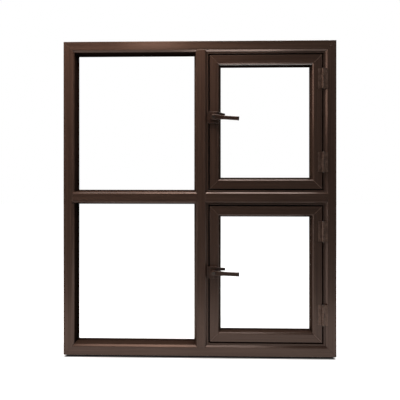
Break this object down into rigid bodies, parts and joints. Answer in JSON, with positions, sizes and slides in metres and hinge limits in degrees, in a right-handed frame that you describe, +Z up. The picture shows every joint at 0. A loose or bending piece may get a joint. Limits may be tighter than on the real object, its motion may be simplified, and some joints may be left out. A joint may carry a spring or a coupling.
{
  "type": "metal casement window frame",
  "caption": "Bronze-coated metal window frame with fixed lights beside inward casement sashes on butt hinges, each closed by a lever handle; unglazed.",
  "frame": {"origin": "middle of the sill's underside, at mid depth of the outer frame", "axes": "+X to the right seen from the room, +Y out of the room (the hinges and handles face -Y), +Z up"},
  "size_m": [1.3, 0.0961, 1.5],
  "materials": {
    "frame_metal": "satin dark bronze coating",
    "sash_metal": "satin dark bronze coating",
    "stop_metal": "satin dark bronze coating",
    "hardware_metal": "satin bronze coating",
    "pin_steel": "darkened steel",
    "catch": "dark bronze casting"
  },
  "bodies": {
    "window": {"head": "frame_metal", "left_jamb": "frame_metal", "left_transom": "frame_metal", "lower_bottom_hinge_frame_leaf": "hardware_metal", "lower_bottom_hinge_pin": "pin_steel", "lower_bottom_hinge_sash_leaf": "hardware_metal", "lower_bottom_stop": "stop_metal", "lower_handle_case": "hardware_metal", "lower_handle_catch": "catch", "lower_handle_keeper": "hardware_metal", "lower_handle_spindle": "pin_steel", "lower_left_stop": "stop_metal", "lower_right_stop": "stop_metal", "lower_sash_bottom_rail": "sash_metal", "lower_sash_hinge_stile": "sash_metal", "lower_sash_lock_stile": "sash_metal", "lower_sash_top_rail": "sash_metal", "lower_top_hinge_frame_leaf": "hardware_metal", "lower_top_hinge_pin": "pin_steel", "lower_top_hinge_sash_leaf": "hardware_metal", "lower_top_stop": "stop_metal", "mullion": "frame_metal", "right_jamb": "frame_metal", "right_transom": "frame_metal", "sill": "frame_metal", "upper_bottom_hinge_frame_leaf": "hardware_metal", "upper_bottom_hinge_pin": "pin_steel", "upper_bottom_hinge_sash_leaf": "hardware_metal", "upper_bottom_stop": "stop_metal", "upper_handle_case": "hardware_metal", "upper_handle_catch": "catch", "upper_handle_keeper": "hardware_metal", "upper_handle_spindle": "pin_steel", "upper_left_stop": "stop_metal", "upper_right_stop": "stop_metal", "upper_sash_bottom_rail": "sash_metal", "upper_sash_hinge_stile": "sash_metal", "upper_sash_lock_stile": "sash_metal", "upper_sash_top_rail": "sash_metal", "upper_top_hinge_frame_leaf": "hardware_metal", "upper_top_hinge_pin": "pin_steel", "upper_top_hinge_sash_leaf": "hardware_metal", "upper_top_stop": "stop_metal"},
    "upper_lever": {"upper_handle_lever": "hardware_metal"},
    "lower_lever": {"lower_handle_lever": "hardware_metal"}
  },
  "joints": [
    {"name": "upper_handle_turn", "type": "hinge", "parent": "window", "child": "upper_lever", "pos_m": [0.069, -0.0523, 1.13625], "axis": [0, 1, 0], "range_deg": [0, 90]},
    {"name": "lower_handle_turn", "type": "hinge", "parent": "window", "child": "lower_lever", "pos_m": [0.069, -0.0523, 0.40025], "axis": [0, 1, 0], "range_deg": [0, 90]}
  ]
}
